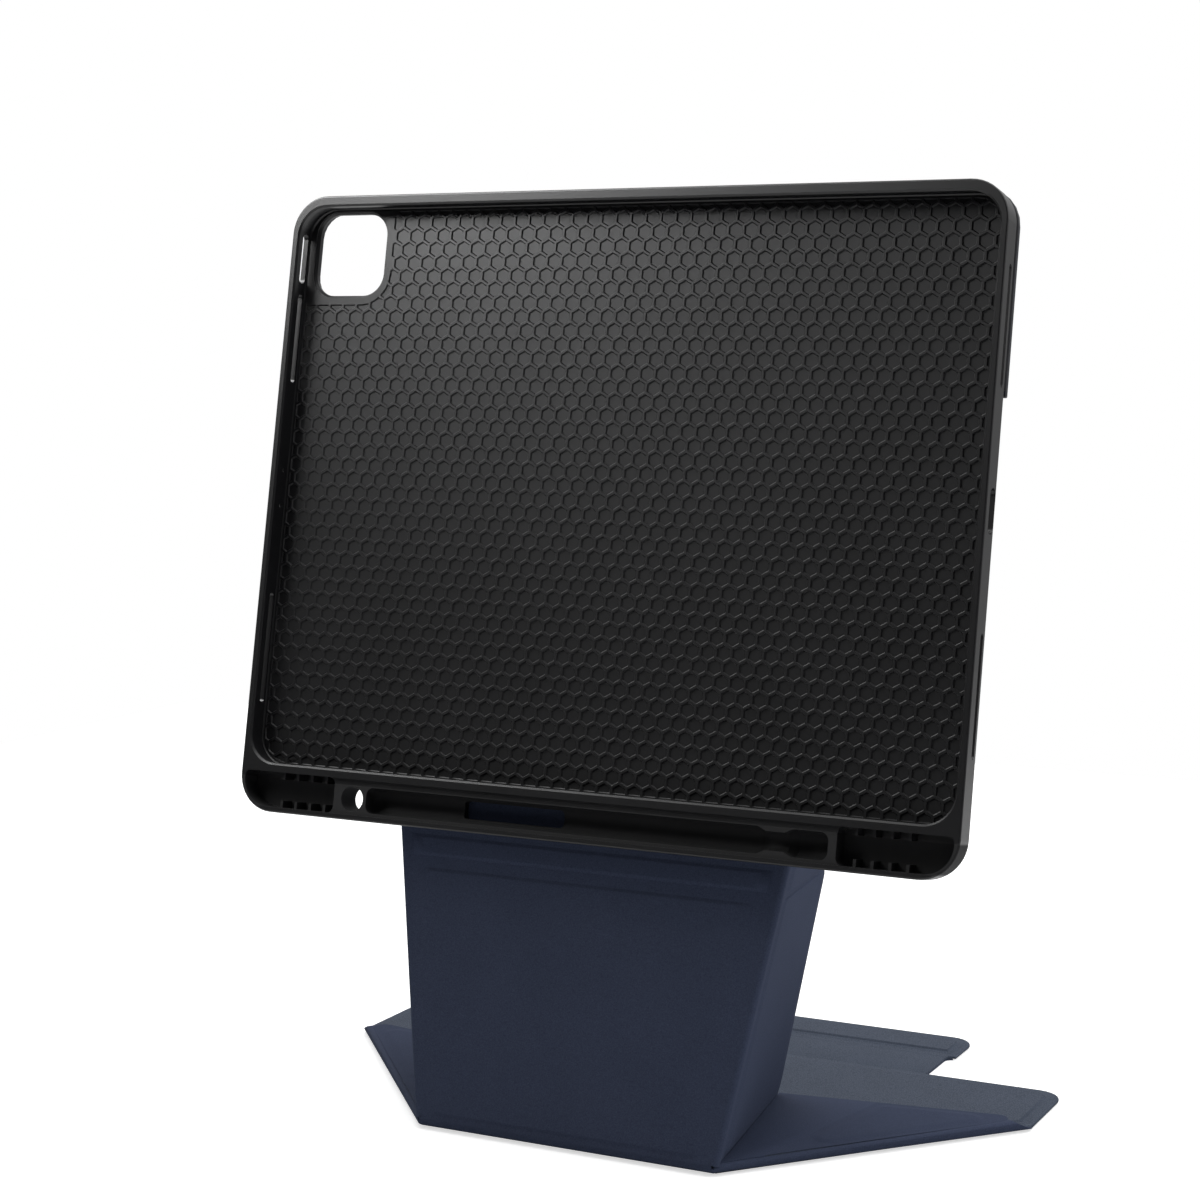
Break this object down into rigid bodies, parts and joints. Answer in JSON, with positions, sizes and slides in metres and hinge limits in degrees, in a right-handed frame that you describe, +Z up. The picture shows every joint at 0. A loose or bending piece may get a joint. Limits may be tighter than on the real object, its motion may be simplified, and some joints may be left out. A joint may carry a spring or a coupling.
{
  "type": "tablet folio case with folding stand",
  "caption": "Folio tablet case: moulded shell with a pencil tray, carried by a cover sheet that folds into a raised leg with side wings, gussets, a base panel and a magnetic tab.",
  "frame": {"origin": "on the table, at the middle of the base panel's underside", "axes": "+Z up, the tablet faces -Y, +X to the viewer's right when facing the tablet"},
  "size_m": [0.285, 0.1963, 0.3414],
  "materials": {
    "shell_tpu": "soft matt moulded plastic with a raised honeycomb on the floor",
    "cover_leather": "fine-grained synthetic leather, navy",
    "lining_fabric": "short-pile microfibre, navy",
    "stiff_board": "plain stiffener board",
    "magnet": "plated magnet",
    "plate_steel": "thin sheet steel",
    "adhesive": "thin film adhesive"
  },
  "bodies": {
    "base": {"base_cover": "cover_leather", "base_board": "stiff_board", "base_lining": "lining_fabric", "base_magnets": "magnet"},
    "column": {"leg_cover": "cover_leather", "leg_board": "stiff_board", "leg_lining": "lining_fabric", "spine_cover": "cover_leather", "spine_board": "stiff_board", "spine_lining": "lining_fabric", "back_cover": "cover_leather", "back_board": "stiff_board", "back_lining": "lining_fabric"},
    "wing_left": {"wing_cover_l": "cover_leather", "wing_lower_board_l": "stiff_board", "wing_upper_board_l": "stiff_board", "wing_lining_l": "lining_fabric"},
    "wing_right": {"wing_cover_r": "cover_leather", "wing_lower_board_r": "stiff_board", "wing_upper_board_r": "stiff_board", "wing_lining_r": "lining_fabric"},
    "gusset_left": {"gusset_cover_l": "cover_leather", "gusset_board_l": "stiff_board", "gusset_lining_l": "lining_fabric", "gusset_magnets_l": "magnet", "gusset_web_l": "cover_leather"},
    "gusset_right": {"gusset_cover_r": "cover_leather", "gusset_board_r": "stiff_board", "gusset_lining_r": "lining_fabric", "gusset_magnets_r": "magnet", "gusset_web_r": "cover_leather"},
    "tablet_holder": {"shell": "shell_tpu", "top_panel_adhesive": "adhesive", "top_panel_lining": "lining_fabric", "top_panel_board": "stiff_board", "top_panel_cover": "cover_leather", "top_panel_plates": "plate_steel"},
    "tab_strip": {"tab_hinge_cover": "cover_leather", "tab_hinge_lining": "lining_fabric"},
    "tab": {"tab_cover": "cover_leather", "tab_board": "stiff_board", "tab_lining": "lining_fabric", "tab_magnets": "magnet"}
  },
  "joints": [
    {"name": "front_fold", "type": "hinge", "parent": "base", "child": "column", "pos_m": [0, -0.07, 0.0024], "axis": [1, 0, 0], "range_deg": [0, 94]},
    {"name": "wing_fold_r", "type": "hinge", "parent": "column", "child": "wing_right", "pos_m": [0.0584, -0.07, 0.0024], "axis": [0.1645, 0.1906, 0.9678], "range_deg": [-87, 0]},
    {"name": "wing_fold_l", "type": "hinge", "parent": "column", "child": "wing_left", "pos_m": [-0.0584, -0.07, 0.0024], "axis": [-0.1645, 0.1906, 0.9678], "range_deg": [0, 87]},
    {"name": "gusset_fold_r", "type": "hinge", "parent": "base", "child": "gusset_right", "pos_m": [0.0584, -0.07, 0.00255], "axis": [0.6534, 0.757, 0], "range_deg": [0, 162], "deforming": ["gusset_web_r"]},
    {"name": "gusset_fold_l", "type": "hinge", "parent": "base", "child": "gusset_left", "pos_m": [-0.0584, -0.07, 0.00255], "axis": [-0.6534, 0.757, 0], "range_deg": [-162, 0], "deforming": ["gusset_web_l"]},
    {"name": "shell_tilt", "type": "hinge", "parent": "column", "child": "tablet_holder", "pos_m": [0, -0.01783, 0.26731], "axis": [1, 0, 0], "range_deg": [-60, 0]},
    {"name": "tab_lift", "type": "hinge", "parent": "base", "child": "tab_strip", "pos_m": [0, 0.071, 0.0024], "axis": [1, 0, 0], "range_deg": [0, 110]},
    {"name": "tab_fold", "type": "hinge", "parent": "tab_strip", "child": "tab", "pos_m": [0, 0.097, 0.0024], "axis": [1, 0, 0], "range_deg": [0, 110]}
  ],
  "couplings": [
    {"joint": "wing_fold_r", "follows": "front_fold", "ratio": -0.9179},
    {"joint": "wing_fold_l", "follows": "front_fold", "ratio": 0.9179},
    {"joint": "gusset_fold_r", "follows": "front_fold", "ratio": 1.7209},
    {"joint": "gusset_fold_l", "follows": "front_fold", "ratio": -1.7209}
  ]
}
